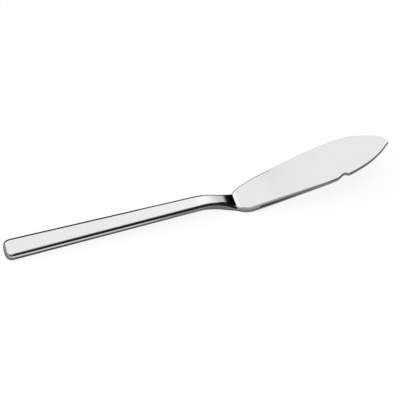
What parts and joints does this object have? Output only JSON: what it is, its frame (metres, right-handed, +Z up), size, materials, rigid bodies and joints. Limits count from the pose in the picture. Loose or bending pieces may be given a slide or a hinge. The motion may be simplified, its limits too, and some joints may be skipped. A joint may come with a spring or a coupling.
{
  "type": "fish knife",
  "caption": "Flat polished steel fish knife with a straight tapering handle, a short cranked neck and a broad blunt blade with a notched back and a point.",
  "frame": {"origin": "middle of the knife's length and width, on the surface that the knife lies on", "axes": "+X from the butt to the tip, +Y towards the blunt cutting edge, +Z up; the notched back is on the -Y side"},
  "size_m": [0.205, 0.026, 0.0197],
  "materials": {
    "steel": "polished stainless steel, close to a mirror, with very fine polishing lines"
  },
  "bodies": {
    "root": {"handle": "steel", "neck": "steel", "blade": "steel"}
  },
  "joints": []
}
